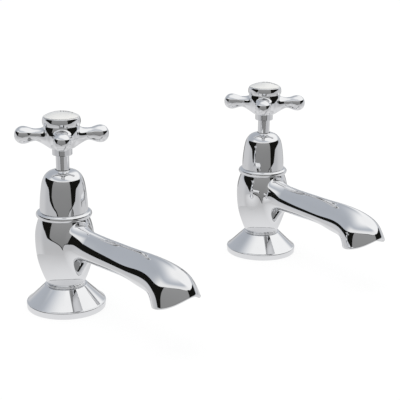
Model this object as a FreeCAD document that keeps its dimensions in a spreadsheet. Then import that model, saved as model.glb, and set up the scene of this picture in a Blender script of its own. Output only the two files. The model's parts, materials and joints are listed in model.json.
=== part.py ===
import FreeCAD, Part
import math
import os
import Sketcher

# A pair of chrome bath pillar taps, hot and cold, with cross handles.
# Millimetres. The deck is the plane Z = 0, the taps stand on the X axis and the spouts point to -Y.
# Rest is shut: the jumper washer lies on its seat.

doc = FreeCAD.newDocument("BathTaps")
sheet = doc.addObject("Spreadsheet::Sheet", "dims")

UP = FreeCAD.Vector(0, 0, 1)
ACROSS = FreeCAD.Vector(1, 0, 0)
ORIGIN = FreeCAD.Vector(0, 0, 0)


class Size:
    """A length or an angle: its number now, and the sheet expression that gives it."""

    def __init__(self, value, text):
        self.value = value
        self.text = text

    def __add__(self, other):
        other = as_size(other)
        return Size(self.value + other.value, f"({self.text} + {other.text})")

    def __sub__(self, other):
        other = as_size(other)
        return Size(self.value - other.value, f"({self.text} - {other.text})")

    def __mul__(self, other):
        other = as_size(other)
        return Size(self.value * other.value, f"({self.text} * {other.text})")

    def __truediv__(self, other):
        other = as_size(other)
        return Size(self.value / other.value, f"({self.text} / {other.text})")

    def __neg__(self):
        return Size(-self.value, f"(-{self.text})")


def as_size(number):
    return number if isinstance(number, Size) else Size(float(number), repr(float(number)))


def sine(angle):
    return Size(math.sin(math.radians(angle.value)), f"sin({angle.text} * 1 deg)")


def cosine(angle):
    return Size(math.cos(math.radians(angle.value)), f"cos({angle.text} * 1 deg)")


def size(alias, value):
    """A driving dimension: one row of the sheet, with its name and its number."""
    size.row += 1
    sheet.set(f"A{size.row}", alias)
    sheet.set(f"B{size.row}", str(value))
    sheet.setAlias(f"B{size.row}", alias)
    return Size(float(value), f"dims.{alias}")


size.row = 0

# The pair
tap_spacing = size("tap_spacing", 180.0)
spout_toe_in = size("spout_toe_in", 3.3)
hot_arm_angle = size("hot_arm_angle", -33.0)
cold_arm_angle = size("cold_arm_angle", -46.5)

# Fits between pieces
running_gap = size("running_gap", 0.05)
thread_gap = size("thread_gap", 0.1)
cover_gap = size("cover_gap", 0.45)
side_gap = size("side_gap", 0.4)

# Flange on the deck
flange_radius = size("flange_radius", 26.25)
flange_rim_height = size("flange_rim_height", 4.6)
flange_rim_width = size("flange_rim_width", 2.25)
flange_edge_round = size("flange_edge_round", 0.9)
flange_height = size("flange_height", 15.6)
flange_web = size("flange_web", 5.0)
flange_shelf = size("flange_shelf", 0.9)
gasket_thickness = size("gasket_thickness", 2.5)

# Tail below the deck, with its washer and backnut
tail_radius = size("tail_radius", 13.2)
tail_bore_radius = size("tail_bore_radius", 7.5)
tail_length = size("tail_length", 46.0)
tail_chamfer = size("tail_chamfer", 1.2)
tail_room = size("tail_room", 0.8)
spigot_step = size("spigot_step", 3.8)
deck_thickness = size("deck_thickness", 18.0)
washer_width = size("washer_width", 7.5)
washer_thickness = size("washer_thickness", 2.0)
backnut_height = size("backnut_height", 10.0)
backnut_collar_height = size("backnut_collar_height", 2.5)
backnut_wall = size("backnut_wall", 4.8)
backnut_collar_width = size("backnut_collar_width", 1.2)

# Vase body
foot_radius = size("foot_radius", 12.4)
foot_lip_height = size("foot_lip_height", 1.6)
foot_lip_width = size("foot_lip_width", 0.6)
belly_radius = size("belly_radius", 19.2)
belly_rise = size("belly_rise", 28.4)
body_height = size("body_height", 46.4)
body_top_radius = size("body_top_radius", 17.5)

# Spout: each reach and drop below is measured from the section before it.
spout_root_reach = size("spout_root_reach", 9.0)
spout_root_drop = size("spout_root_drop", 3.0)
spout_flare = size("spout_flare", 2.4)
spout_blend = size("spout_blend", 5.0)
spout_neck_reach = size("spout_neck_reach", 31.0)
spout_neck_radius = size("spout_neck_radius", 9.0)
spout_tube_reach = size("spout_tube_reach", 18.0)
spout_tube_radius = size("spout_tube_radius", 8.6)
spout_bend_reach = size("spout_bend_reach", 18.0)
spout_bend_radius = size("spout_bend_radius", 9.0)
spout_bend_drop = size("spout_bend_drop", 0.2)
nose_reach = size("nose_reach", 15.0)
nose_drop = size("nose_drop", 2.4)
nose_tilt = size("nose_tilt", 18.0)
nose_radius = size("nose_radius", 10.7)
bill_reach = size("bill_reach", 9.0)
bill_drop = size("bill_drop", 3.6)
bill_tilt = size("bill_tilt", 40.0)
bill_half_length = size("bill_half_length", 14.8)
bill_half_width = size("bill_half_width", 12.2)
mouth_reach = size("mouth_reach", 5.6)
mouth_drop = size("mouth_drop", 5.8)
mouth_tilt = size("mouth_tilt", 65.0)
mouth_half_length = size("mouth_half_length", 18.9)
mouth_half_width = size("mouth_half_width", 13.2)
spout_wall = size("spout_wall", 2.2)
mouth_lip = size("mouth_lip", 1.8)
mouth_overrun = size("mouth_overrun", 1.0)

# Valve seat and headgear
seat_depth = size("seat_depth", 22.0)
seat_height = size("seat_height", 6.0)
seat_width = size("seat_width", 2.95)
seat_land = size("seat_land", 6.0)
headgear_ledge = size("headgear_ledge", 2.8)
headgear_spigot_length = size("headgear_spigot_length", 9.0)
headgear_washer_thickness = size("headgear_washer_thickness", 1.0)
headgear_flange_thickness = size("headgear_flange_thickness", 1.8)
headgear_hex_height = size("headgear_hex_height", 6.2)
headgear_neck_height = size("headgear_neck_height", 13.0)
headgear_neck_wall = size("headgear_neck_wall", 2.3)
headgear_web_height = size("headgear_web_height", 1.5)
stuffing_depth = size("stuffing_depth", 7.0)
packing_width = size("packing_width", 2.5)
packing_height = size("packing_height", 5.0)
gland_hex_height = size("gland_hex_height", 4.0)
gland_hex_step = size("gland_hex_step", 2.9)

# Collar ring and bell cover
collar_height = size("collar_height", 4.0)
collar_overhang = size("collar_overhang", 0.7)
collar_ledge = size("collar_ledge", 0.7)
bell_base_radius = size("bell_base_radius", 15.7)
bell_shoulder_radius = size("bell_shoulder_radius", 14.0)
bell_height = size("bell_height", 28.6)
bell_dome_height = size("bell_dome_height", 10.2)
bell_crown_radius = size("bell_crown_radius", 5.6)
bell_wall = size("bell_wall", 1.3)
bell_web_height = size("bell_web_height", 2.5)

# Spindle and jumper
spindle_radius = size("spindle_radius", 4.3)
spindle_thread_step = size("spindle_thread_step", 1.7)
spindle_thread_length = size("spindle_thread_length", 22.5)
drive_side = size("drive_side", 5.9)
drive_length = size("drive_length", 9.8)
jumper_gap = size("jumper_gap", 2.5)
jumper_plate_thickness = size("jumper_plate_thickness", 2.5)
jumper_stem_radius = size("jumper_stem_radius", 3.0)
jumper_stem_length = size("jumper_stem_length", 12.5)
stem_room = size("stem_room", 2.0)
jumper_washer_thickness = size("jumper_washer_thickness", 3.0)
jumper_stud_radius = size("jumper_stud_radius", 2.0)
washer_nut_height = size("washer_nut_height", 3.0)
washer_nut_step = size("washer_nut_step", 1.9)
nut_room = size("nut_room", 2.0)
stud_end = size("stud_end", 0.5)

# Cross handle
handle_gap = size("handle_gap", 8.6)
skirt_wall = size("skirt_wall", 1.45)
skirt_height = size("skirt_height", 5.0)
bush_wall = size("bush_wall", 0.65)
bush_inset = size("bush_inset", 2.0)
bush_height = size("bush_height", 9.0)
handle_web = size("handle_web", 2.0)
hub_radius = size("hub_radius", 13.2)
hub_rise = size("hub_rise", 8.0)
hub_neck_radius = size("hub_neck_radius", 10.9)
hub_height = size("hub_height", 19.5)
arm_rise = size("arm_rise", 13.5)
arm_root_radius = size("arm_root_radius", 5.9)
arm_root_reach = size("arm_root_reach", 9.0)
arm_neck_radius = size("arm_neck_radius", 4.0)
arm_neck_reach = size("arm_neck_reach", 16.5)
arm_ball_radius = size("arm_ball_radius", 5.7)
arm_ball_reach = size("arm_ball_reach", 23.6)
arm_reach = size("arm_reach", 30.0)
handle_recess_wall = size("handle_recess_wall", 1.9)

# Handle screw and index
screw_shank_radius = size("screw_shank_radius", 1.9)
screw_head_radius = size("screw_head_radius", 3.8)
screw_head_height = size("screw_head_height", 2.5)
screw_length = size("screw_length", 10.0)
screw_slot_width = size("screw_slot_width", 1.0)
screw_slot_depth = size("screw_slot_depth", 1.2)
index_rim_radius = size("index_rim_radius", 12.2)
index_rim_height = size("index_rim_height", 5.6)
index_rim_round = size("index_rim_round", 2.0)
index_spigot_height = size("index_spigot_height", 3.7)
index_rim_wall = size("index_rim_wall", 1.7)
index_floor = size("index_floor", 3.0)
index_edge_height = size("index_edge_height", 2.3)
index_dome_height = size("index_dome_height", 3.4)

# The flare follows a cubic from the body to the neck, through these shares of its length.
FLARE_SHARES = (0, 0.2, 0.4, 0.7, 1)
FLARE_POWER = 3

# Where an arc passes between its two ends: the share of the way across, and of the way up.
VASE_LOWER_BULGE = (0.68, 0.45)
VASE_UPPER_BULGE = (0.25, 0.5)
BOWL_BULGE = (0.78, 0.34)
NECK_SWEEP = (0.62, 0.52)
ARM_ROOT_SWEEP = (0.4, 0.7)
ARM_BALL_SWELL = (0.5, 0.575)
ARM_TIP_BULGE = (0.76, 0.28)
QUARTER_ROUND = 1 - math.sqrt(0.5)

TAPS = {
    "hot": (-tap_spacing / 2, spout_toe_in, hot_arm_angle),
    "cold": (tap_spacing / 2, -spout_toe_in, cold_arm_angle),
}

# Heights above the deck
foot_level = flange_height
body_top = foot_level + body_height
bell_level = body_top + collar_height
bell_top = bell_level + bell_height
skirt_level = bell_top + handle_gap
arm_level = skirt_level + arm_rise
hub_top = skirt_level + hub_height
seat_top = body_top - seat_depth
seat_bottom = seat_top - seat_height
socket_top = seat_bottom - seat_land
web_level = flange_height - flange_web
headgear_bottom = body_top - headgear_spigot_length
headgear_shoulder = body_top + headgear_washer_thickness
hex_level = headgear_shoulder + headgear_flange_thickness
neck_level = hex_level + headgear_hex_height
neck_top = neck_level + headgear_neck_height
stuffing_level = neck_top - stuffing_depth
plate_level = seat_top + jumper_washer_thickness
spindle_bottom = plate_level + jumper_plate_thickness
bush_level = skirt_level + bush_inset
bush_top = bush_level + bush_height
recess_level = bush_top + handle_web
spout_level = body_top - spout_root_drop - spout_flare - spout_neck_radius

# Radii that follow from the fits
spigot_radius = tail_radius - spigot_step
socket_radius = spigot_radius + thread_gap
collar_bore = bell_base_radius - bell_wall - collar_ledge
headgear_flange_radius = collar_bore - side_gap
headgear_spigot_radius = headgear_flange_radius - headgear_ledge
chamber_radius = headgear_spigot_radius + thread_gap
seat_pocket_radius = seat_width + jumper_stud_radius + washer_nut_step + nut_room + thread_gap
spindle_thread_radius = spindle_radius + spindle_thread_step
stuffing_radius = spindle_radius + packing_width
headgear_neck_radius = stuffing_radius + headgear_neck_wall
jumper_radius = chamber_radius - jumper_gap
drive_corner = drive_side / math.sqrt(2)
bush_radius = spindle_radius + bush_wall
recess_radius = hub_neck_radius - handle_recess_wall


def corner(across, height):
    """A corner of an outline."""
    return ("corner", as_size(across), as_size(height))


def via(across, height):
    """The middle of an arc from the corner before it to the corner after it."""
    return ("via", as_size(across), as_size(height))


def bulge(start, end, shares):
    """The middle of an arc, at shares of the way from one end to the other."""
    across = start[0] + (end[0] - start[0]) * shares[0]
    height = start[1] + (end[1] - start[1]) * shares[1]
    return via(across, height)


def cap():
    """An arc about a point of the axis, from the corner before it to the corner after it."""
    return ("cap", as_size(0), as_size(0))


def cap_middle(first, last):
    """A point half way along the cap's arc."""
    centre = (first.dot(first) - last.dot(last)) / (2 * (first.y - last.y))
    middle = (first + last) / 2 - FreeCAD.Vector(0, centre, 0)
    radius = (first - FreeCAD.Vector(0, centre, 0)).Length
    return middle.normalize() * radius + FreeCAD.Vector(0, centre, 0)


def round_edge(across, height, radius):
    """A quarter round at an outer top edge."""
    near = radius * QUARTER_ROUND
    return [
        corner(across, height - radius),
        via(across - near, height - near),
        corner(across - radius, height),
    ]


def origin_plane(body, role):
    return next(item for item in body.Origin.OriginFeatures if item.Role == role)


def new_sketch(body, name, role="XZ_Plane"):
    sketch = body.newObject("Sketcher::SketchObject", f"{body.Name}_{name}")
    sketch.AttachmentSupport = [(origin_plane(body, role), "")]
    sketch.MapMode = "FlatFace"
    return sketch


def bind(sketch, constraint, expression):
    index = sketch.addConstraint(constraint)
    sketch.setExpression(f"Constraints[{index}]", expression.text)


def hold_point(sketch, geometry, position, across, height):
    """Keep a sketch point at its sizes from the sketch's origin."""
    for kind, distance, axis in (("DistanceX", across, -2), ("DistanceY", height, -1)):
        if distance.text == "0.0":
            sketch.addConstraint(Sketcher.Constraint("PointOnObject", geometry, position, axis))
        else:
            held = Sketcher.Constraint(kind, -1, 1, geometry, position, distance.value)
            bind(sketch, held, distance)


def draw_outline(sketch, outline):
    """A closed outline of lines and arcs through its corners."""
    corners = [index for index, point in enumerate(outline) if point[0] == "corner"]
    place = [FreeCAD.Vector(point[1].value, point[2].value, 0) for point in outline]
    ends = []
    for here, after in zip(corners, corners[1:] + corners[:1]):
        middle = (here + 1) % len(outline)
        bend = outline[middle][0]
        if bend != "corner":
            if bend == "cap":
                place[middle] = cap_middle(place[here], place[after])
            forward = (place[middle] - place[here]).cross(place[after] - place[middle]).z > 0
            first, last = (here, after) if forward else (after, here)
            edge = sketch.addGeometry(Part.Arc(place[first], place[middle], place[last]), False)
            if bend == "cap":
                sketch.addConstraint(Sketcher.Constraint("PointOnObject", edge, 3, -2))
            else:
                on_arc = sketch.addGeometry(Part.Point(place[middle]), True)
                hold_point(sketch, on_arc, 1, outline[middle][1], outline[middle][2])
                sketch.addConstraint(Sketcher.Constraint("PointOnObject", on_arc, 1, edge))
        else:
            edge = sketch.addGeometry(Part.LineSegment(place[here], place[after]), False)
            forward = True
        ends.append((edge, 1 if forward else 2, 2 if forward else 1))
    for index, here in enumerate(corners):
        edge, start, _ = ends[index]
        before, _, finish = ends[index - 1]
        sketch.addConstraint(Sketcher.Constraint("Coincident", before, finish, edge, start))
        hold_point(sketch, edge, start, outline[here][1], outline[here][2])


def new_body(tap, name, turn=None):
    """An empty sub-part on its tap's axis, turned about it where a turn is given."""
    body = doc.addObject("PartDesign::Body", f"{tap}_{name}")
    body.setExpression("Placement.Base.x", TAPS[tap][0].text)
    if turn is not None:
        body.setExpression("Placement.Rotation.Angle", turn.text)
    return body


def turned(body, name, outline, kind="PartDesign::Revolution", axis="V_Axis", lift=None):
    """A piece, or a cut, turned from an outline about an axis of its sketch."""
    sketch = new_sketch(body, f"{name}_outline")
    if lift is not None:
        sketch.setExpression("AttachmentOffset.Base.y", lift.text)
    draw_outline(sketch, outline)
    feature = body.newObject(kind, f"{body.Name}_{name}")
    feature.Profile = sketch
    feature.ReferenceAxis = (sketch, [axis])
    feature.Angle = 360
    return feature


def ring(body, name, inner, outer, bottom, top, kind="PartDesign::Revolution"):
    outline = [corner(inner, bottom), corner(outer, bottom), corner(outer, top), corner(inner, top)]
    return turned(body, name, outline, kind)


def primitive(body, kind, name, bottom, **sizes):
    """An upright primitive feature that starts at a height."""
    feature = body.newObject(f"PartDesign::{kind}", f"{body.Name}_{name}")
    feature.AttachmentSupport = [(origin_plane(body, "XY_Plane"), "")]
    feature.MapMode = "FlatFace"
    feature.setExpression("AttachmentOffset.Base.z", bottom.text)
    for prop, value in sizes.items():
        feature.setExpression(prop, value.text)
    return feature


def hexagon(body, name, corner_radius, bottom, height):
    prism = primitive(body, "AdditivePrism", name, bottom, Circumradius=corner_radius, Height=height)
    prism.Polygon = 6
    return prism


def base_flange(tap):
    """Conical flange on the deck, hollow under its web, with a recess for the gasket."""
    body = new_body(tap, "base_flange")
    cone_top = foot_radius + foot_lip_width + flange_shelf
    cavity = tail_radius + tail_room
    recess = flange_radius - flange_rim_width
    outline = [
        corner(recess, 0),
        corner(flange_radius, 0),
        *round_edge(flange_radius, flange_rim_height, flange_edge_round),
        corner(cone_top, flange_height),
        corner(socket_radius, flange_height),
        corner(socket_radius, web_level),
        corner(cavity, web_level),
        corner(cavity, gasket_thickness),
        corner(recess, gasket_thickness),
    ]
    turned(body, "cone", outline)
    return body


def deck_gasket(tap):
    body = new_body(tap, "deck_gasket")
    inner = tail_radius + tail_room
    outer = flange_radius - flange_rim_width - thread_gap
    ring(body, "ring", inner, outer, as_size(0), gasket_thickness)
    return body


def threaded_tail(tap):
    """Tail pipe through the deck: its shoulder pulls the flange up against the body."""
    body = new_body(tap, "threaded_tail")
    outline = [
        corner(tail_bore_radius, -tail_length),
        corner(tail_radius - tail_chamfer, -tail_length),
        corner(tail_radius, -tail_length + tail_chamfer),
        corner(tail_radius, web_level),
        corner(spigot_radius, web_level),
        corner(spigot_radius, socket_top),
        corner(tail_bore_radius, socket_top),
    ]
    turned(body, "pipe", outline)
    return body


def under_deck_washer(tap):
    body = new_body(tap, "under_deck_washer")
    inner = tail_radius + thread_gap
    ring(body, "ring", inner, inner + washer_width, -deck_thickness - washer_thickness, -deck_thickness)
    return body


def backnut(tap):
    """Hexagon backnut with a round collar against the washer."""
    body = new_body(tap, "backnut")
    top = -deck_thickness - washer_thickness
    bore = tail_radius + thread_gap
    hex_corner = (bore + backnut_wall) / math.cos(math.pi / 6)
    ring(body, "collar", bore, hex_corner + backnut_collar_width, top - backnut_collar_height, top)
    hexagon(body, "hexagon", hex_corner, top - backnut_height, backnut_height - backnut_collar_height)
    primitive(body, "SubtractiveCylinder", "bore", top - backnut_height, Radius=bore, Height=backnut_height)
    return body


def section(body, name, reach, height, tilt, half_length, half_width):
    """A cross-section of the spout: round, or an ellipse whose long axis lies in the upright plane."""
    sketch = new_sketch(body, name)
    if tilt is not None:
        sketch.AttachmentOffset = FreeCAD.Placement(ORIGIN, FreeCAD.Rotation(ACROSS, tilt.value))
        sketch.setExpression("AttachmentOffset.Rotation.Angle", tilt.text)
    sketch.setExpression("AttachmentOffset.Base.y", height.text)
    sketch.setExpression("AttachmentOffset.Base.z", reach.text)
    if half_width is None:
        circle = sketch.addGeometry(Part.Circle(ORIGIN, UP, half_length.value), False)
        sketch.addConstraint(Sketcher.Constraint("Coincident", circle, 3, -1, 1))
        bind(sketch, Sketcher.Constraint("Radius", circle, half_length.value), half_length)
        return sketch
    tip = FreeCAD.Vector(0, half_length.value, 0)
    flank = FreeCAD.Vector(half_width.value, 0, 0)
    ellipse = sketch.addGeometry(Part.Ellipse(tip, flank, ORIGIN), False)
    sketch.exposeInternalGeometry(ellipse)
    long_axis, short_axis = ellipse + 1, ellipse + 2
    sketch.addConstraint(Sketcher.Constraint("Coincident", ellipse, 3, -1, 1))
    sketch.addConstraint(Sketcher.Constraint("Vertical", long_axis))
    bind(sketch, Sketcher.Constraint("Distance", long_axis, 2 * half_length.value), half_length * 2)
    bind(sketch, Sketcher.Constraint("Distance", short_axis, 2 * half_width.value), half_width * 2)
    return sketch


def spout_loft(body, name, kind, wall, lip, overrun):
    """The spout's skin, drawn in by a wall, from the flare at the body to past the turned-down mouth."""
    stations = []
    for share in FLARE_SHARES:
        reach = spout_root_reach + spout_neck_reach * share
        radius = spout_neck_radius + spout_flare * (1 - share) ** FLARE_POWER - wall
        stations.append((reach, spout_level, None, radius, None))
    tube = spout_root_reach + spout_neck_reach + spout_tube_reach
    bend = tube + spout_bend_reach
    nose = bend + nose_reach
    bill = nose + bill_reach
    mouth = bill + mouth_reach + cosine(mouth_tilt) * overrun
    bend_level = spout_level - spout_bend_drop
    nose_level = bend_level - nose_drop
    bill_level = nose_level - bill_drop
    mouth_level = bill_level - mouth_drop - sine(mouth_tilt) * overrun
    stations += [
        (tube, spout_level, None, spout_tube_radius - wall, None),
        (bend, bend_level, None, spout_bend_radius - wall, None),
        (nose, nose_level, nose_tilt, nose_radius - wall, None),
        (bill, bill_level, bill_tilt, bill_half_length - wall, bill_half_width - wall),
        (mouth, mouth_level, mouth_tilt, mouth_half_length - lip, mouth_half_width - lip),
    ]
    sketches = [section(body, f"{name}_{index}", *station) for index, station in enumerate(stations)]
    loft = body.newObject(kind, f"{body.Name}_{name}")
    loft.Profile = sketches[0]
    loft.Sections = sketches[1:]
    loft.Ruled = False
    loft.Closed = False
    return loft


def blend_edges(shape):
    """Names of the edges where the spout's skin runs out of the turned body."""
    both = {"Part::GeomBSplineSurface", "Part::GeomSurfaceOfRevolution"}
    names = []
    for index, edge in enumerate(shape.Edges, start=1):
        kinds = {face.Surface.TypeId for face in shape.ancestorsOfType(edge, Part.Face)}
        if both <= kinds:
            names.append(f"Edge{index}")
    return names


def spout_body(tap):
    """Vase body with its spout, the waterway, the seat pocket and the headgear socket."""
    body = new_body(tap, "spout_body", TAPS[tap][1])
    lip_top = foot_level + foot_lip_height
    belly_level = foot_level + belly_rise
    lip_radius = foot_radius + foot_lip_width
    outline = [
        corner(0, foot_level),
        corner(foot_radius, foot_level),
        via(lip_radius, foot_level + foot_lip_height / 2),
        corner(foot_radius, lip_top),
        bulge((foot_radius, lip_top), (belly_radius, belly_level), VASE_LOWER_BULGE),
        corner(belly_radius, belly_level),
        bulge((belly_radius, belly_level), (body_top_radius, body_top), VASE_UPPER_BULGE),
        corner(body_top_radius, body_top),
        corner(0, body_top),
    ]
    turned(body, "vase", outline)
    spout_loft(body, "spout", "PartDesign::AdditiveLoft", as_size(0), as_size(0), as_size(0))
    doc.recompute()
    joined = body.Tip
    blend = body.newObject("PartDesign::Fillet", f"{body.Name}_blend")
    blend.Base = (joined, blend_edges(joined.Shape))
    blend.setExpression("Radius", spout_blend.text)
    spout_loft(body, "waterway", "PartDesign::SubtractiveLoft", spout_wall, mouth_lip, mouth_overrun)
    hollow = [
        corner(0, foot_level),
        corner(socket_radius, foot_level),
        corner(socket_radius, socket_top),
        corner(tail_bore_radius, socket_top),
        corner(tail_bore_radius, seat_bottom),
        corner(seat_pocket_radius, seat_bottom),
        corner(seat_pocket_radius, seat_top),
        corner(chamber_radius, seat_top),
        corner(chamber_radius, body_top),
        corner(0, body_top),
    ]
    turned(body, "chamber", hollow, "PartDesign::Groove")
    return body


def seat_bush(tap):
    body = new_body(tap, "seat_bush")
    outer = seat_pocket_radius - thread_gap
    ring(body, "ring", outer - seat_width, outer, seat_bottom, seat_top)
    return body


def headgear_washer(tap):
    body = new_body(tap, "headgear_washer")
    ring(body, "ring", chamber_radius, headgear_flange_radius, body_top, headgear_shoulder)
    return body


def headgear(tap):
    """Brass headgear: screwed spigot, hexagon, neck with the stuffing box, and the spindle's thread."""
    body = new_body(tap, "headgear")
    thread_bore = spindle_thread_radius + running_gap
    shaft_bore = spindle_radius + running_gap
    web_bottom = stuffing_level - headgear_web_height
    outline = [
        corner(0, headgear_bottom),
        corner(headgear_spigot_radius, headgear_bottom),
        corner(headgear_spigot_radius, headgear_shoulder),
        corner(headgear_flange_radius, headgear_shoulder),
        corner(headgear_flange_radius, hex_level),
        corner(headgear_neck_radius, hex_level),
        corner(headgear_neck_radius, neck_top),
        corner(0, neck_top),
    ]
    turned(body, "blank", outline)
    hexagon(body, "hexagon", headgear_flange_radius, hex_level, headgear_hex_height)
    bore = [
        corner(0, headgear_bottom),
        corner(thread_bore, headgear_bottom),
        corner(thread_bore, web_bottom),
        corner(shaft_bore, web_bottom),
        corner(shaft_bore, stuffing_level),
        corner(stuffing_radius, stuffing_level),
        corner(stuffing_radius, neck_top),
        corner(0, neck_top),
    ]
    turned(body, "bore", bore, "PartDesign::Groove")
    return body


def gland_packing(tap):
    body = new_body(tap, "gland_packing")
    top = stuffing_level + packing_height
    ring(body, "ring", spindle_radius + running_gap, stuffing_radius, stuffing_level, top)
    return body


def gland_nut(tap):
    """Gland nut: its nose presses the packing, its hexagon stands on the neck."""
    body = new_body(tap, "gland_nut")
    bore = spindle_radius + running_gap * 2
    nose = stuffing_radius - thread_gap
    ring(body, "nose", bore, nose, stuffing_level + packing_height, neck_top)
    hexagon(body, "hexagon", nose + gland_hex_step, neck_top, gland_hex_height)
    primitive(body, "SubtractiveCylinder", "bore", neck_top, Radius=bore, Height=gland_hex_height)
    return body


def collar_ring(tap):
    """Half-round bead between the body and the bell."""
    body = new_body(tap, "collar_ring")
    crest = body_top_radius + collar_overhang
    half = collar_height / 2
    outline = [
        corner(collar_bore, body_top),
        corner(crest - half, body_top),
        via(crest, body_top + half),
        corner(crest - half, bell_level),
        corner(collar_bore, bell_level),
    ]
    turned(body, "bead", outline)
    return body


def bell_cover(tap):
    """Bell over the headgear: tapered sides, a round shoulder and an inner web on the headgear's neck."""
    body = new_body(tap, "bell_cover")
    dome_level = bell_top - bell_dome_height
    hole = spindle_radius + cover_gap
    seat = headgear_neck_radius + thread_gap
    web_top = neck_level + bell_web_height
    lean = (bell_base_radius - bell_shoulder_radius) / (bell_height - bell_dome_height)
    inner_base = bell_base_radius - bell_wall
    inner_shoulder = bell_shoulder_radius - bell_wall
    at_web = inner_base - lean * (neck_level - bell_level)
    above_web = inner_base - lean * (web_top - bell_level)
    crown = (bell_crown_radius, bell_top)
    inner_crown = (bell_crown_radius, bell_top - bell_wall)
    dome = (QUARTER_ROUND, 1 - QUARTER_ROUND)
    outline = [
        corner(inner_base, bell_level),
        corner(bell_base_radius, bell_level),
        corner(bell_shoulder_radius, dome_level),
        bulge((bell_shoulder_radius, dome_level), crown, dome),
        corner(*crown),
        corner(hole, bell_top),
        corner(hole, bell_top - bell_wall),
        corner(*inner_crown),
        bulge((inner_shoulder, dome_level), inner_crown, dome),
        corner(inner_shoulder, dome_level),
        corner(above_web, web_top),
        corner(seat, web_top),
        corner(seat, neck_level),
        corner(at_web, neck_level),
    ]
    turned(body, "shell", outline)
    return body


def spindle(tap):
    """Rising spindle: thread below, plain shaft through the gland, square drive, and both end bores."""
    body = new_body(tap, "spindle", TAPS[tap][2])
    thread_top = spindle_bottom + spindle_thread_length
    drive_top = bush_top - side_gap / 2
    drive_level = bush_top - drive_length
    outline = [
        corner(0, spindle_bottom + jumper_stem_length + stem_room),
        corner(jumper_stem_radius + running_gap, spindle_bottom + jumper_stem_length + stem_room),
        corner(jumper_stem_radius + running_gap, spindle_bottom),
        corner(spindle_thread_radius, spindle_bottom),
        corner(spindle_thread_radius, thread_top),
        corner(spindle_radius, thread_top),
        corner(spindle_radius, drive_level),
        corner(0, drive_level),
    ]
    turned(body, "shaft", outline)
    square = primitive(body, "AdditivePrism", "drive", drive_level,
                       Circumradius=drive_corner, Height=drive_top - drive_level)
    square.Polygon = 4
    tapped = screw_length + stem_room / 2
    primitive(body, "SubtractiveCylinder", "tapped_hole", recess_level - tapped,
              Radius=screw_shank_radius + thread_gap, Height=tapped)
    return body


def jumper(tap):
    """Jumper: plate with a stem up in the spindle and a stud down through its washer."""
    body = new_body(tap, "jumper")
    stud_bottom = seat_top - washer_nut_height - stud_end
    outline = [
        corner(0, stud_bottom),
        corner(jumper_stud_radius, stud_bottom),
        corner(jumper_stud_radius, plate_level),
        corner(jumper_radius, plate_level),
        corner(jumper_radius, spindle_bottom),
        corner(jumper_stem_radius, spindle_bottom),
        corner(jumper_stem_radius, spindle_bottom + jumper_stem_length),
        corner(0, spindle_bottom + jumper_stem_length),
    ]
    turned(body, "plate", outline)
    return body


def jumper_washer(tap):
    body = new_body(tap, "jumper_washer")
    ring(body, "ring", jumper_stud_radius + thread_gap, jumper_radius, seat_top, plate_level)
    return body


def washer_nut(tap):
    body = new_body(tap, "washer_nut")
    bottom = seat_top - washer_nut_height
    hexagon(body, "hexagon", jumper_stud_radius + washer_nut_step, bottom, washer_nut_height)
    primitive(body, "SubtractiveCylinder", "bore", bottom,
              Radius=jumper_stud_radius + thread_gap, Height=washer_nut_height)
    return body


def cross_handle(tap):
    """Cross handle: skirt, bowl and neck turned about the spindle, with four turned arms."""
    body = new_body(tap, "cross_handle", TAPS[tap][2])
    skirt_radius = bush_radius + thread_gap + skirt_wall
    skirt_top = skirt_level + skirt_height
    shoulder = skirt_level + hub_rise
    outline = [
        corner(0, skirt_level),
        corner(skirt_radius, skirt_level),
        corner(skirt_radius, skirt_top),
        bulge((skirt_radius, skirt_top), (hub_radius, shoulder), BOWL_BULGE),
        corner(hub_radius, arm_level),
        bulge((hub_radius, arm_level), (hub_neck_radius, hub_top), NECK_SWEEP),
        corner(hub_neck_radius, hub_top),
        corner(0, hub_top),
    ]
    turned(body, "hub", outline)
    arm_outline = [
        corner(0, 0),
        corner(0, arm_root_radius),
        corner(arm_root_reach, arm_root_radius),
        bulge((arm_root_reach, arm_root_radius), (arm_neck_reach, arm_neck_radius), ARM_ROOT_SWEEP),
        corner(arm_neck_reach, arm_neck_radius),
        bulge((arm_neck_reach, arm_neck_radius), (arm_ball_reach, arm_ball_radius), ARM_BALL_SWELL),
        corner(arm_ball_reach, arm_ball_radius),
        bulge((arm_ball_reach, arm_ball_radius), (arm_reach, as_size(0)), ARM_TIP_BULGE),
        corner(arm_reach, 0),
    ]
    arm = turned(body, "arm", arm_outline, axis="H_Axis", lift=arm_level)
    cross = body.newObject("PartDesign::PolarPattern", f"{body.Name}_arms")
    cross.Originals = [arm]
    cross.Axis = (origin_plane(body, "Z_Axis"), [""])
    cross.Angle = 360
    cross.Occurrences = 4
    body.Tip = cross
    hollow = [
        corner(0, skirt_level),
        corner(bush_radius + thread_gap, skirt_level),
        corner(bush_radius + thread_gap, bush_top),
        corner(screw_shank_radius + thread_gap, bush_top),
        corner(screw_shank_radius + thread_gap, recess_level),
        corner(recess_radius, recess_level),
        corner(recess_radius, hub_top),
        corner(0, hub_top),
    ]
    turned(body, "hollow", hollow, "PartDesign::Groove")
    return body


def handle_bush(tap):
    """Plastic bush with a square hole between the spindle's drive and the handle."""
    body = new_body(tap, "handle_bush", TAPS[tap][2])
    outline = [
        corner(0, bush_level),
        corner(bush_radius, bush_level),
        corner(bush_radius, bush_top),
        corner(0, bush_top),
    ]
    turned(body, "plug", outline)
    square = primitive(body, "SubtractivePrism", "hole", bush_level,
                       Circumradius=drive_corner + running_gap, Height=bush_height)
    square.Polygon = 4
    return body


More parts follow.
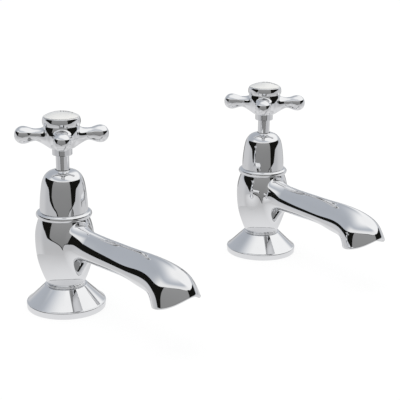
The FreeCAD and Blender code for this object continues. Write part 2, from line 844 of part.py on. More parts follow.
def handle_screw(tap):
    """Slotted screw that holds the handle down on the spindle."""
    body = new_body(tap, "handle_screw", TAPS[tap][2])
    head_top = recess_level + screw_head_height
    outline = [
        corner(0, recess_level - screw_length),
        corner(screw_shank_radius, recess_level - screw_length),
        corner(screw_shank_radius, recess_level),
        corner(screw_head_radius, recess_level),
        corner(screw_head_radius, head_top),
        corner(0, head_top),
    ]
    turned(body, "screw", outline)
    slot = primitive(body, "SubtractiveBox", "slot", head_top - screw_slot_depth,
                     Length=screw_head_radius * 2, Width=screw_slot_width, Height=screw_slot_depth)
    slot.setExpression("AttachmentOffset.Base.x", (-screw_head_radius).text)
    slot.setExpression("AttachmentOffset.Base.y", (-screw_slot_width / 2).text)
    return body


def index_rim(tap):
    """Chrome cap screwed into the hub: a rounded rim round the index disc."""
    body = new_body(tap, "index_rim", TAPS[tap][2])
    rim_top = hub_top + index_rim_height
    spigot = recess_radius - thread_gap
    bore = index_rim_radius - index_rim_wall
    outline = [
        corner(0, hub_top - index_spigot_height),
        corner(spigot, hub_top - index_spigot_height),
        corner(spigot, hub_top),
        corner(index_rim_radius - index_rim_round, hub_top),
        via(index_rim_radius, hub_top + index_rim_height / 2),
        corner(index_rim_radius - index_rim_wall / 2, rim_top),
        corner(bore, rim_top),
        corner(bore, hub_top + index_floor),
        corner(0, hub_top + index_floor),
    ]
    turned(body, "cap", outline)
    return body


def index_disc(tap):
    """White ceramic index, domed."""
    body = new_body(tap, "index_disc", TAPS[tap][2])
    radius = index_rim_radius - index_rim_wall - thread_gap
    floor = hub_top + index_floor
    edge = floor + index_edge_height
    top = edge + index_dome_height
    outline = [
        corner(0, floor),
        corner(radius, floor),
        corner(radius, edge),
        cap(),
        corner(0, top),
    ]
    turned(body, "disc", outline)
    return body


PIECES = [
    base_flange, deck_gasket, threaded_tail, under_deck_washer, backnut, spout_body, seat_bush,
    headgear_washer, headgear, gland_packing, gland_nut, collar_ring, bell_cover, spindle, jumper,
    jumper_washer, washer_nut, cross_handle, handle_bush, handle_screw, index_rim, index_disc,
]

sub_parts = [piece(tap) for tap in TAPS for piece in PIECES]
doc.recompute()

for item in doc.Objects:
    faults = [state for state in item.State if state in ("Invalid", "Error")]
    if faults:
        raise RuntimeError(f"{item.Label}: {faults} {item.getStatusString()}")
for item in sub_parts:
    if item.Shape.isNull() or not item.Shape.isValid() or len(item.Shape.Solids) != 1:
        raise RuntimeError(f"{item.Label}: no single valid solid")
for tap in TAPS:
    uncut = doc.getObject(f"{tap}_spout_body_blend").Shape
    if doc.getObject(f"{tap}_spout_body_waterway").Shape.Volume >= uncut.Volume:
        raise RuntimeError(f"{tap}_spout_body: the waterway is not cut")

os.makedirs("parts", exist_ok=True)
for item in sub_parts:
    item.Shape.exportStep(f"parts/{item.Label}.step")
    print(f"{item.Label}: {item.Shape.Volume / 1000:.2f} cm3")
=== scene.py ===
import json
import math

import bmesh
import bpy
import numpy as np
from mathutils import Matrix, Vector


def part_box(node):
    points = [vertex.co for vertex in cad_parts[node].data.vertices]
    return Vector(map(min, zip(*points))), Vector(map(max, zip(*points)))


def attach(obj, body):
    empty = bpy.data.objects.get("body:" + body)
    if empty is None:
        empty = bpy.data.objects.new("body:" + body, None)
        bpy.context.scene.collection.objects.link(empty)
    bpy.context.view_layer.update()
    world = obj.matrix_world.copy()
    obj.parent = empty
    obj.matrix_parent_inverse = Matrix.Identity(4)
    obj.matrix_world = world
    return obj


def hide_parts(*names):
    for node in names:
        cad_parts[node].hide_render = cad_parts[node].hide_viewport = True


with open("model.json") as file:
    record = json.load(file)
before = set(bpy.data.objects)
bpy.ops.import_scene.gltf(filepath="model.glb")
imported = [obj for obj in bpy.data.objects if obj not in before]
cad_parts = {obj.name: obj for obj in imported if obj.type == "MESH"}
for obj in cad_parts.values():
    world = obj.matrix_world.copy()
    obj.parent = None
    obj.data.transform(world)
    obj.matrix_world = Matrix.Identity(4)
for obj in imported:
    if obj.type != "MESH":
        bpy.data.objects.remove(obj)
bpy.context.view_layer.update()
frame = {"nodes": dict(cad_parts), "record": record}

bl_info = {
    "name": "Bath Pillar Taps",
    "version": (1, 0, 0),
    "blender": (4, 5, 0),
    "location": "View3D > Sidebar > Bath Taps",
    "description": "Finishes a pair of chrome bath pillar taps around their packed CAD frame",
    "category": "Add Mesh",
}

MM = 0.001
TAPS = ("hot", "cold")
DOUBLED = 0.0001 * MM  # points of a mesh that lie closer are merged
SHARP_TURN = math.radians(35)  # edges that turn by more are shaded sharp
SENSOR_WIDTH = 36.0  # of the camera, in millimetres


def axis_x(tap):
    """The tap's upright axis, from the middle of its flange."""
    low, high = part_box(f"{tap}_base_flange")
    return round((low.x + high.x) / 2, 4)


# Sizes and colours that a user would change


def length(name, description, default):
    """A length property; the default is given in millimetres."""
    return bpy.props.FloatProperty(
        name=name, description=description, default=default * MM,
        subtype="DISTANCE", unit="LENGTH", precision=5)


def share(name, description, default):
    """A property from 0 to 1."""
    return bpy.props.FloatProperty(
        name=name, description=description, default=default, min=0, max=1, subtype="FACTOR")


def angle(name, description, default):
    """An angle property; the default is given in degrees."""
    return bpy.props.FloatProperty(
        name=name, description=description, default=math.radians(default), subtype="ANGLE", unit="ROTATION")


def colour(name, description, default):
    """A colour property, as linear red, green and blue."""
    return bpy.props.FloatVectorProperty(
        name=name, description=description, default=default, min=0, max=1, size=3, subtype="COLOR")


def point(name, description, default):
    """A point property, in metres."""
    return bpy.props.FloatVectorProperty(
        name=name, description=description, default=default, size=3, subtype="TRANSLATION", unit="LENGTH")


class TapFinishes(bpy.types.PropertyGroup):
    """Colours and polish of the tap's materials."""

    chrome: colour("Chrome", "Colour of the polished chrome", (0.87, 0.875, 0.885))
    chrome_roughness: share("Chrome roughness", "Blur of the chrome's reflections", 0.02)
    brass: colour("Brass", "Colour of the turned brass", (0.66, 0.47, 0.20))
    rubber: colour("Rubber", "Colour of the gaskets and washers", (0.022, 0.022, 0.024))
    fibre: colour("Fibre", "Colour of the pressed fibre washers", (0.30, 0.055, 0.03))
    packing: colour("Packing", "Colour of the greased gland packing", (0.62, 0.58, 0.48))
    plastic: colour("Plastic", "Colour of the handle bush", (0.78, 0.75, 0.66))
    steel: colour("Steel", "Colour of the handle screw", (0.56, 0.57, 0.58))
    ceramic: colour("Ceramic", "Colour of the glazed index", (0.86, 0.86, 0.84))
    lettering: colour("Lettering", "Colour of the fired lettering", (0.035, 0.035, 0.04))


class TapShapes(bpy.types.PropertyGroup):
    """Sizes of the shaped pieces."""

    spout_toe: angle("Spout toe-in", "Turn of each spout towards the other tap", 3.3)
    sweep_radius: length(
        "Sweep radius", "Radius of the hollow between the vase and the spout, at its side", 9.3)
    sweep_growth: length(
        "Sweep growth", "How much that radius shrinks to the top and grows to the bottom", 5.4)
    lip_sag: length("Lip sag", "How far the sides of the spout's lip hang below its plane", 1.7)
    spout_wall: length("Spout wall", "Thickness of the spout's wall", 2.2)
    lip_wall: length("Lip wall", "Thickness of the spout's rounded lip", 1.8)
    hot_turn: angle("Hot handle", "Turn of the hot tap's arms", -33)
    cold_turn: angle("Cold handle", "Turn of the cold tap's arms", -46.5)
    arm_level: length("Arm level", "Height of the arms' axes", 116.5)
    thread_pitch: length("Thread pitch", "Pitch of the tails' pipe thread", 1.814)
    thread_depth: length("Thread depth", "Depth of the tails' pipe thread", 1.05)
    letter_height: length("Letter height", "Height of the lettering on the index", 2.9)
    letter_shift: length(
        "Letter shift", "How far the lettering sits from the index's middle, along an arm", 3.6)


class TapStage(bpy.types.PropertyGroup):
    """Camera, floor and studio light."""

    camera_azimuth: angle("Camera turn", "Turn of the camera's line of sight from +Y", -41.033)
    camera_pitch: angle("Camera pitch", "How far the camera looks down", 16.051)
    camera_roll: angle("Camera roll", "Turn of the camera about its line of sight", 0.545)
    camera_place: point("Camera place", "Where the camera stands", (-0.4402, -0.5369, 0.2564))
    camera_lens: bpy.props.FloatProperty(
        name="Lens", description="Focal length of the camera", default=91.8, unit="CAMERA")
    floor_radius: length("Floor radius", "Reach of the pale floor", 4000)
    floor_colour: colour("Floor", "Colour of the floor", (0.95, 0.95, 0.95))
    floor_glow: share("Floor glow", "Share of the floor's white that a shadow leaves", 0.8)
    floor_white: bpy.props.FloatProperty(
        name="Floor white", description="Strength of the floor's own white", default=1.06, min=0)
    ambient: share("Ambient", "Strength of the light from all round", 0.86)
    panel_radius: length("Panel distance", "How far off the studio's panels stand", 2500)
    front_grey: colour("Front card", "Colour of the card on the camera's side", (0.27, 0.27, 0.27))
    flag_black: colour("Flag", "Colour of the flag behind the card", (0.008, 0.008, 0.007))
    overhead_tint: colour("Overhead", "Colour of the ceiling in the metal", (0.52, 0.55, 0.60))
    ground_tint: colour("Ground", "Colour of the ground in the metal", (0.80, 0.80, 0.81))
    side_tint: colour("Sides", "Colour of the studio's sides in the metal", (0.52, 0.525, 0.54))
    lamp_power: bpy.props.FloatProperty(
        name="Lamp", description="Power of the soft lamp", default=3.0, min=0, unit="POWER")
    lamp_size: length("Lamp size", "Width of the soft lamp", 1200)
    lamp_place: point("Lamp place", "Where the soft lamp hangs", (-0.5, -0.2, 1.5))
    lamp_pitch: angle("Lamp pitch", "Turn of the lamp about X from straight down", -8)
    lamp_lean: angle("Lamp lean", "Turn of the lamp about Y from straight down", -18)


# Surfaces


def arc(start, middle, end, points=24):
    """Points on the circle through three points of a profile, from the first to the last."""
    a, b, c = (np.array(p, float) for p in (start, middle, end))
    chords = np.array([b - a, c - a])
    centre = a + np.linalg.solve(2 * chords, (chords ** 2).sum(1))
    turn = [math.atan2(*(p - centre)[::-1]) for p in (a, b, c)]
    span = (turn[2] - turn[0]) % math.tau
    if (turn[1] - turn[0]) % math.tau > span:
        span -= math.tau
    at = turn[0] + span * np.linspace(0, 1, points)
    radius = np.linalg.norm(a - centre)
    return centre + radius * np.stack([np.cos(at), np.sin(at)], 1)


def circle(number):
    """Even angles once round, without the doubled last one."""
    return np.linspace(0, math.tau, number, endpoint=False)


def round_points(r, t, h):
    """Points at radius r, angle t and height h: (r cos t, r sin t, h)."""
    return np.stack([r * np.cos(t), r * np.sin(t), h + 0 * t], -1)


def profile(*runs):
    """One outline in millimetres from corners and arcs, without doubled points."""
    rows = np.concatenate([np.atleast_2d(np.array(run, float)) for run in runs])
    keep = np.ones(len(rows), bool)
    keep[1:] = np.linalg.norm(np.diff(rows, axis=0), axis=1) > 1e-6
    return rows[keep] * MM


def grid_faces(rows, columns, close_rows):
    """Quads of a grid whose columns run round and close; its rows close too where asked."""
    r = np.arange(rows if close_rows else rows - 1)[:, None]
    c = np.arange(columns)[None, :]
    up, on = (r + 1) % rows, (c + 1) % columns
    quads = np.stack([r * columns + c, r * columns + on, up * columns + on, up * columns + c], -1)
    return quads.reshape(-1, 4)


def new_piece(name, points, faces):
    """A mesh object from points and quads, its doubled points merged and its normals outward."""
    mesh = bpy.data.meshes.new(name)
    mesh.from_pydata(points.reshape(-1, 3).tolist(), [], faces.tolist())
    shape = bmesh.new()
    shape.from_mesh(mesh)
    bmesh.ops.remove_doubles(shape, verts=shape.verts, dist=DOUBLED)
    bmesh.ops.recalc_face_normals(shape, faces=shape.faces)
    shape.to_mesh(mesh)
    shape.free()
    mesh.shade_smooth()
    mesh.set_sharp_from_angle(angle=SHARP_TURN)
    piece = bpy.data.objects.new(name, mesh)
    bpy.context.scene.collection.objects.link(piece)
    return piece


def turned_points(outline, x, around):
    """Surface of revolution: each (r, h) of the outline goes to (x + r cos t, r sin t, h)."""
    return round_points(outline[:, :1], circle(around), outline[:, 1:]) + np.array([x, 0, 0])


def turned(name, outline, x, around=192):
    """A piece turned from a closed outline."""
    points = turned_points(outline, x, around)
    return new_piece(name, points, grid_faces(len(outline), around, True))


def dress(piece, material, body, slot, *nodes):
    """Gives a piece its finish, rides it on its body and stands it for its nodes; the slot argument is not
    used.
    """
    piece.data.materials.clear()
    piece.data.materials.append(material)
    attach(piece, body)
    if nodes:
        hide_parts(*nodes)


def joined(name, *grids):
    """One piece from several grids of points, each with its own closing of rows."""
    points, faces, start = [], [], 0
    for grid, close in grids:
        rows, columns = grid.shape[:2]
        points.append(grid.reshape(-1, 3))
        faces.append(grid_faces(rows, columns, close) + start)
        start += rows * columns
    return new_piece(name, np.concatenate(points), np.concatenate(faces))


def spline(knots, values, at):
    """Natural cubic spline through the values at the knots; its second slopes come from one linear solve."""
    knots = np.array(knots, float)
    values = np.array(values, float).reshape(len(knots), -1)
    gap = np.diff(knots)
    inner = np.arange(1, len(knots) - 1)
    system = np.eye(len(knots))
    system[inner, inner - 1] = gap[:-1]
    system[inner, inner] = 2 * (gap[:-1] + gap[1:])
    system[inner, inner + 1] = gap[1:]
    right = np.zeros_like(values)
    right[1:-1] = 6 * np.diff(np.diff(values, axis=0) / gap[:, None], axis=0)
    bend = np.linalg.solve(system, right)
    i = np.clip(np.searchsorted(knots, at) - 1, 0, len(knots) - 2)
    h = gap[i][:, None]
    a = (knots[i + 1] - at)[:, None] / h
    b = 1 - a
    cubic = (a ** 3 - a) * bend[i] + (b ** 3 - b) * bend[i + 1]
    return a * values[i] + b * values[i + 1] + cubic * h ** 2 / 6


def spline_curve(points, count):
    """Points at even steps along a spline through a few points of a profile."""
    points = np.array(points, float)
    along = np.concatenate([[0], np.cumsum(np.linalg.norm(np.diff(points, axis=0), axis=1))])
    return spline(along, points, np.linspace(0, along[-1], count))


def sweep(start, leave, end, arrive, rows):
    """Cubic curves from start to end, one a column, that leave and arrive at the given slopes."""
    u = np.linspace(0, 1, rows)[:, None, None]
    begin = 1 - 3 * u ** 2 + 2 * u ** 3
    return begin * start + u * (1 - u) ** 2 * leave + (1 - begin) * end - u ** 2 * (1 - u) * arrive


def landing(outline, turn, height, phi):
    """A ring at given turns and heights on the surface that an outline (r, h) turns, and the way along that
    surface into the ring at each angle phi of it."""
    radius = np.interp(height, outline[:, 1], outline[:, 0])
    lean = np.interp(height, outline[:, 1], np.gradient(outline[:, 0], outline[:, 1]))
    ring = round_points(radius, turn, height)
    around = np.stack([-np.sin(turn), np.cos(turn), 0 * turn], -1)
    upward = np.stack([lean * np.cos(turn), lean * np.sin(turn), 1 + 0 * turn], -1)
    upward /= np.linalg.norm(upward, axis=-1, keepdims=True)
    return ring, -(np.sin(phi)[:, None] * around + np.cos(phi)[:, None] * upward)


def set_on_tap(points, turn, x):
    """Points given as forward, side and up of a tap, with forward turned from +X, set on the tap's axis."""
    forward, side = points[..., 0], points[..., 1]
    c, s = math.cos(turn), math.sin(turn)
    return np.stack([x + forward * c - side * s, forward * s + side * c, points[..., 2]], -1)


def vase_belly():
    """Outline of the vase above its foot: a slim waist that swells to the belly, drawn in to the collar."""
    return spline_curve([(12.4, 17.2), (13.9, 20.6), (16.0, 26.2), (17.9, 33.0), (18.95, 40.5), (19.25, 46.5),
                         (19.15, 50.5), (18.65, 54.2), (17.75, 57.8), (16.85, 60.3), (16.1, 62.0)], 96) * MM


def vase_grid(around=192):
    """The vase as a closed surface of revolution, hollow for the seat, the headgear and the tail."""
    foot = arc((12.4, 15.6), (13.0, 16.4), (12.4, 17.2), 15)
    hollow = [(10.6, 62), (10.6, 40), (8.95, 40), (8.95, 34), (7.5, 34), (7.5, 28), (9.5, 28), (9.5, 15.6)]
    return turned_points(profile(foot, vase_belly() / MM, hollow), 0, around)


SPOUT_STATIONS = (
    # reach, height, tilt in degrees, half length, half width, egg
    (30.0, 48.2, 0, 9.5, 9.2, 0.4),
    (42.0, 48.0, 0, 9.3, 9.2, 0.48),
    (58.0, 48.1, 1, 9.1, 9.4, 0.55),
    (74.4, 47.9, 8, 9.4, 9.9, 0.55),
    (87.0, 46.9, 28, 11.4, 10.9, 0.4),
    (96.4, 45.7, 44, 12.9, 12.3, 0.3),
    (103.4, 43.2, 56, 13.8, 13.9, 0.26),
    (109.0, 35.4, 64, 14.5, 15.6, 0.24),
)


def spout_rings(shapes, rows, phi, wall, lip):
    """Rings of the spout from its neck to its lip, across a line that bends down, drawn in by the wall.
    Each ring is an egg with its narrow end up: half width times sin(phi) (1 - egg cos(phi)) across and half
    length times cos(phi) up. Near the lip the sides hang lower and the back is lifted, by the sag times a
    part of sin(phi)^2 (1 + cos(phi)) less a part of (1 - cos(phi))^2."""
    lip_start, side_hang, back_lift, late = 0.78, 1.15, 0.35, 8  # the wall takes the lip's thickness late
    stations = np.array(SPOUT_STATIONS)
    along = np.concatenate([[0], np.cumsum(np.hypot(*np.diff(stations[:, :2], axis=0).T))])
    station = spline(along, stations, np.linspace(0, along[-1], rows)).T[..., None]
    reach, height, tilt, tall, wide, egg = station
    done = np.linspace(0, 1, rows)[:, None]
    inset = (wall + (lip - wall) * done ** late) / MM
    up = (tall - inset) * np.cos(phi)
    across = (wide - inset) * np.sin(phi) * (1 - egg * np.cos(phi))
    tilt = np.radians(tilt)
    hang = side_hang * np.sin(phi) ** 2 * (1 + np.cos(phi)) - back_lift * (1 - np.cos(phi)) ** 2
    hang = hang * np.clip((done - lip_start) / (1 - lip_start), 0, 1) ** 2
    rise = height + up * np.cos(tilt) - shapes.lip_sag / MM * hang
    return np.stack([reach + up * np.sin(tilt), across, rise], -1) * MM


def spout_grid(shapes, around=160):
    """The spout's closed wall: out of the vase on a hollow sweep whose radius grows downwards, along a bent
    line to the mouth, over a half-round lip and back inside."""
    pull, settle, settle_change = 1.3, 11.0, 3.0  # how strongly the sweep leaves the vase and joins the spout
    into_vase = np.array([14.0, 0, 0]) * MM
    root_rows, outer_rows, lip_rows, inner_rows = 44, 120, 11, 60
    phi = circle(around)
    outer = spout_rings(shapes, outer_rows, phi, 0.0, 0.0)
    inner = spout_rings(shapes, inner_rows, phi, shapes.spout_wall, shapes.lip_wall)[::-1]
    _, neck_level, _, tall, wide, _ = np.array(SPOUT_STATIONS[0]) * MM
    hollow = shapes.sweep_radius - shapes.sweep_growth * np.cos(phi)
    belly = vase_belly()
    turn = np.arcsin((wide + hollow) * np.sin(phi) / (belly[:, 0].max() + hollow))
    ring, inward = landing(belly, turn, neck_level + (tall + hollow) * np.cos(phi), phi)
    leave = inward * pull * hollow[:, None]
    arrive = np.stack([settle - settle_change * np.cos(phi), 0 * phi, 0 * phi], -1) * MM
    root = sweep(ring, leave, outer[0], arrive, root_rows)
    w = np.linspace(0, math.pi, lip_rows)[1:-1, None, None]
    mix = (1 - np.cos(w)) / 2
    out_of_mouth = np.array([0.36, 0, -0.933]) * shapes.lip_wall / 2
    lip = outer[-1] * (1 - mix) + inner[0] * mix + out_of_mouth * np.sin(w)
    return np.concatenate([root[:-1], outer, lip, inner, inner[-1:] - into_vase])


def hub_outline():
    """Outline of the handle's hub above its skirt: a bowl, widest at the arms, that draws in to the cap."""
    return spline_curve([(6.5, 107.4), (7.9, 107.9), (9.9, 109.4), (11.6, 112.0), (12.5, 115.2),
                         (12.4, 118.2), (11.8, 120.8), (11.1, 122.6)], 60) * MM


def hub_grid(around=192):
    """The hub as a closed surface of revolution, bored for the bush and the screw, recessed for the cap."""
    skirt = [(5.05, 103.2), (6.2, 103.2), (6.5, 103.5), (6.5, 107.4)]
    hollow = [(11.0, 122.7), (9.0, 122.7), (9.0, 116.2), (2.1, 116.2), (2.1, 114.2), (5.05, 114.2)]
    return turned_points(profile(skirt, hub_outline() / MM, hollow), 0, around)


def arm_grid(shapes, around=96):
    """One arm: off the hub on a concave sweep, then turned about its own axis to a bulb with a round end."""
    root_turn, root_level, root_rise = math.radians(40), 114.9, 6.9
    pull, settle = 5.0, 6.0  # how strongly the sweep leaves the hub and joins the bulb
    root_rows, bulb_rows = 30, 56
    phi = circle(around)
    run = spline_curve([(16.8, 3.95), (18.6, 4.2), (21.2, 5.05), (23.9, 5.65), (26.6, 5.25), (28.7, 3.7),
                        (29.7, 1.75), (29.92, 0.0)], bulb_rows) * MM
    run[-1, 1] = 0
    t, r = run[:, :1], run[:, 1:]
    bulb = np.stack([t + 0 * phi, r * np.sin(phi), shapes.arm_level + r * np.cos(phi)], -1)
    height = (root_level + root_rise * np.cos(phi)) * MM
    ring, inward = landing(hub_outline(), root_turn * np.sin(phi), height, phi)
    leave = inward * (pull - np.cos(phi))[:, None] * MM
    arrive = np.broadcast_to(np.array([settle, 0, 0]) * MM, ring.shape)
    return np.concatenate([sweep(ring, leave, bulb[0], arrive, root_rows)[:-1], bulb])


def thread_grid(shapes, around=96):
    """The tail: r falls by the depth times a rounded wave of h / pitch - t / turn, which fades out at the
    thread's ends, or by a chamfer at its foot where that is more."""
    low, high, radius = -46 * MM, -1.5 * MM, 13.2 * MM
    run_in, run_out, chamfer_height = 1.5 * MM, 2.5 * MM, 1.2 * MM
    roundness, chamfer_share, rows = 1.3, 0.9, 250
    t = circle(around)
    h = np.linspace(low, high, rows)[:, None]
    wave = 0.5 - 0.5 * np.cos(math.tau * h / shapes.thread_pitch - t)
    fade = np.clip((h - low) / run_in, 0, 1) * np.clip((high - h) / run_out, 0, 1)
    chamfer = chamfer_share * shapes.thread_depth * np.clip(1 - (h - low) / chamfer_height, 0, 1)
    r = radius - np.maximum(shapes.thread_depth * wave ** roundness * fade, chamfer)
    rest = profile([(13.2, 10.6), (9.4, 10.6), (9.4, 28.0), (7.5, 28.0), (7.5, -46.0)])
    return np.concatenate([round_points(r, t, h), turned_points(rest, 0, around)])


def nut_grid(around=192):
    """The backnut: r is the lesser of a hexagon's across each turn and a chamfer's cone at each height."""
    half_flats, hexagon_top, bore_side = 19.14 * MM, -22.49 * MM, 15 * MM
    t = circle(around)
    flats = half_flats / np.cos((t % (math.tau / 6)) - math.tau / 12)
    lower = [(20.2 + 0.25 * k, -30.0 + 0.14 * k) for k in range(1, 9)]
    upper = [(22.2 - 0.25 * k, -23.4 + 0.11 * k) for k in range(1, 9)]
    collar = [(20.2, -22.5), (20.8, -22.5), (20.8, -20.3), (20.5, -20.0), (13.3, -20.0)]
    rows = profile([(13.3, -30.0), (20.2, -30.0)], lower, [(22.2, -23.4)], upper, collar)
    cap, h = rows[:, :1], rows[:, 1:]
    on_hexagon = (h < hexagon_top) & (cap > bore_side)
    return round_points(np.where(on_hexagon, np.minimum(cap, flats), cap), t, h)


def flange_outline():
    """Outline of the flange: a leaning rim with a rounded edge, a cone up to the vase and a hollow below."""
    return profile(
        [(24, 0), (25.7, 0), (25.95, 0.3), (26.2, 3.7)], arc((26.2, 3.7), (25.945, 4.33), (25.32, 4.6), 9),
        [(25.1, 4.75), (14.15, 15.4)], arc((14.15, 15.4), (13.95, 15.56), (13.7, 15.6), 5),
        [(9.5, 15.6), (9.5, 10.6), (14, 10.6), (14, 2.5), (24, 2.5)])


def collar_outline():
    """Outline of the collar ring: a half-round bead."""
    return profile([(13.7, 62), (16.2, 62)], arc((16.2, 62), (18.2, 64), (16.2, 66), 33), [(13.7, 66)])


def bell_outline():
    """Outline of the bell: nearly upright sides that round over to the spindle's hole, and a wall inside."""
    outside = spline_curve([(15.7, 66.2), (15.6, 69.5), (15.35, 73.5), (14.95, 77.6), (14.4, 81.7),
                            (13.55, 85.8), (11.8, 89.6), (8.9, 92.2), (5.2, 93.3)], 80)
    inside = spline_curve([(6.8, 91.2), (9.4, 89.4), (11.6, 86.0), (13.3, 79.5), (14.1, 70.5)], 30)
    return profile([(14.3, 66), (15.5, 66), (15.7, 66.2)], outside, [(4.75, 93.35), (4.75, 92.0)], inside)


def cap_outline():
    """Outline of the index cap: a plug in the hub under a bulging rim with a recess for the disc."""
    return profile(
        [(8.9, 119.0), (8.9, 122.75), (11.6, 122.75)],
        arc((11.6, 122.75), (11.84, 122.86), (11.95, 123.1), 6),
        arc((11.98, 123.1), (12.25, 124.9), (11.85, 127.4), 24),
        arc((11.85, 127.4), (11.65, 127.85), (11.2, 128.08), 12),
        [(10.5, 128.08), (10.5, 125.7), (0, 125.7), (0, 119.0)])


def dome_height(r):
    """Height of the index disc's top at a radius: a sphere through its edge and its crown."""
    edge, low, high = 11.3 * MM, 128.3 * MM, 131.36 * MM
    ball = (edge ** 2 + (high - low) ** 2) / (2 * (high - low))
    return high - ball + np.sqrt(ball ** 2 - r ** 2)


def disc_outline():
    """Outline of the index disc: flat below, a small round edge and a spherical top."""
    r = np.linspace(11.2 * MM, 0, 40)
    top = np.stack([r, dome_height(r)], 1) / MM
    below = [(0, 125.7), (10.3, 125.7), (10.4, 125.9), (10.4, 128.1), (11.15, 128.15), (11.28, 128.25)]
    return profile(below, top)


# Materials


def node_group(name, inputs, outputs):
    """An empty shader node group with named sockets, or the one that is there already."""
    group = bpy.data.node_groups.get(name)
    if group is not None:
        return group, None, None
    group = bpy.data.node_groups.new(name, "ShaderNodeTree")
    for title, kind, default in inputs:
        socket = group.interface.new_socket(name=title, in_out="INPUT", socket_type=kind)
        socket.default_value = default
    for title, kind in outputs:
        group.interface.new_socket(name=title, in_out="OUTPUT", socket_type=kind)
    return group, group.nodes.new("NodeGroupInput"), group.nodes.new("NodeGroupOutput")


def add_node(tree, kind, links=None, **settings):
    """A node with its settings; links gives its inputs a number, a colour or another node's socket."""
    node = tree.nodes.new(kind)
    for key, value in settings.items():
        setattr(node, key, value)
    for key, value in (links or {}).items():
        if isinstance(value, bpy.types.NodeSocket):
            tree.links.new(value, node.inputs[key])
        else:
            node.inputs[key].default_value = value
    return node


def wear_group():
    """Polish wear: soft smudges and fine scratches, as two masks."""
    group, take, give = node_group(
        "polish_wear",
        [("Smudge size", "NodeSocketFloat", 40.0), ("Scratch size", "NodeSocketFloat", 900.0)],
        [("Smudge", "NodeSocketFloat"), ("Scratch", "NodeSocketFloat")])
    if take is None:
        return group
    place = add_node(group, "ShaderNodeTexCoord").outputs["Object"]
    smudge = add_node(group, "ShaderNodeTexNoise", {
        "Vector": place, "Scale": take.outputs["Smudge size"], "Detail": 4.0, "Roughness": 0.6})
    ramp = add_node(group, "ShaderNodeMapRange", {
        "Value": smudge.outputs["Fac"], "From Min": 0.45, "From Max": 0.75})
    stretch = add_node(group, "ShaderNodeMapping", {
        "Vector": place, "Rotation": (0.4, 0.7, 0.2), "Scale": (1.0, 0.06, 0.25)})
    lines = add_node(group, "ShaderNodeTexNoise", {
        "Vector": stretch.outputs["Vector"], "Scale": take.outputs["Scratch size"], "Detail": 2.0})
    hair = add_node(group, "ShaderNodeMapRange", {
        "Value": lines.outputs["Fac"], "From Min": 0.66, "From Max": 0.74})
    group.links.new(ramp.outputs["Result"], give.inputs["Smudge"])
    group.links.new(hair.outputs["Result"], give.inputs["Scratch"])
    return group


def mottle_group():
    """Two tones of one colour and a fine height, from noise at one grain size."""
    group, take, give = node_group(
        "mottled_grain",
        [("Grain size", "NodeSocketFloat", 600.0), ("Dark", "NodeSocketColor", (0, 0, 0, 1)),
         ("Light", "NodeSocketColor", (1, 1, 1, 1))],
        [("Colour", "NodeSocketColor"), ("Height", "NodeSocketFloat")])
    if take is None:
        return group
    place = add_node(group, "ShaderNodeTexCoord").outputs["Object"]
    grain = add_node(group, "ShaderNodeTexNoise", {
        "Vector": place, "Scale": take.outputs["Grain size"], "Detail": 5.0, "Roughness": 0.65})
    tone = add_node(group, "ShaderNodeMix", data_type="RGBA")
    group.links.new(grain.outputs["Fac"], tone.inputs["Factor"])
    group.links.new(take.outputs["Dark"], tone.inputs["A"])
    group.links.new(take.outputs["Light"], tone.inputs["B"])
    group.links.new(tone.outputs["Result"], give.inputs["Colour"])
    group.links.new(grain.outputs["Fac"], give.inputs["Height"])
    return group


def lathe_group():
    """Fine rings left by a lathe, as a height that runs up the piece."""
    group, take, give = node_group(
        "lathe_marks", [("Rings", "NodeSocketFloat", 900.0)], [("Height", "NodeSocketFloat")])
    if take is None:
        return group
    place = add_node(group, "ShaderNodeTexCoord").outputs["Object"]
    rings = add_node(group, "ShaderNodeTexWave", {
        "Vector": place, "Scale": take.outputs["Rings"], "Distortion": 1.2, "Detail": 2.0,
        "Detail Scale": 2.0}, bands_direction="Z")
    group.links.new(rings.outputs["Fac"], give.inputs["Height"])
    return group


def shader(name):
    """A new material's node tree and its Principled shader, or the material that is there already."""
    material = bpy.data.materials.get(name)
    if material is not None:
        return material, None, None
    material = bpy.data.materials.new(name)
    material.use_nodes = True
    return material, material.node_tree, material.node_tree.nodes["Principled BSDF"]


def put_group(tree, group, **values):
    """A shader node group in a material, with values for its inputs."""
    node = add_node(tree, "ShaderNodeGroup", node_tree=group)
    for title, value in values.items():
        node.inputs[title.replace("_", " ")].default_value = value
    return node


def chrome_material(finishes):
    """Polished chrome with faint smudges and hairline scratches in its polish."""
    smudge_blur, scratch_blur, smudge_tone = 0.025, 0.035, 0.97
    material, tree, surface = shader("polished_chrome")
    if tree is None:
        return material
    surface.inputs["Metallic"].default_value = 1.0
    wear = put_group(tree, wear_group(), Smudge_size=45.0, Scratch_size=1400.0)
    smudged = add_node(tree, "ShaderNodeMath", {
        0: wear.outputs["Smudge"], 1: smudge_blur, 2: finishes.chrome_roughness}, operation="MULTIPLY_ADD")
    rough = add_node(tree, "ShaderNodeMath", {
        0: wear.outputs["Scratch"], 1: scratch_blur, 2: smudged.outputs[0]}, operation="MULTIPLY_ADD")
    tree.links.new(rough.outputs[0], surface.inputs["Roughness"])
    tone = add_node(tree, "ShaderNodeMix", data_type="RGBA")
    tree.links.new(wear.outputs["Smudge"], tone.inputs["Factor"])
    tone.inputs["A"].default_value = (*finishes.chrome, 1)
    tone.inputs["B"].default_value = (*[smudge_tone * c for c in finishes.chrome], 1)
    tree.links.new(tone.outputs["Result"], surface.inputs["Base Color"])
    return material


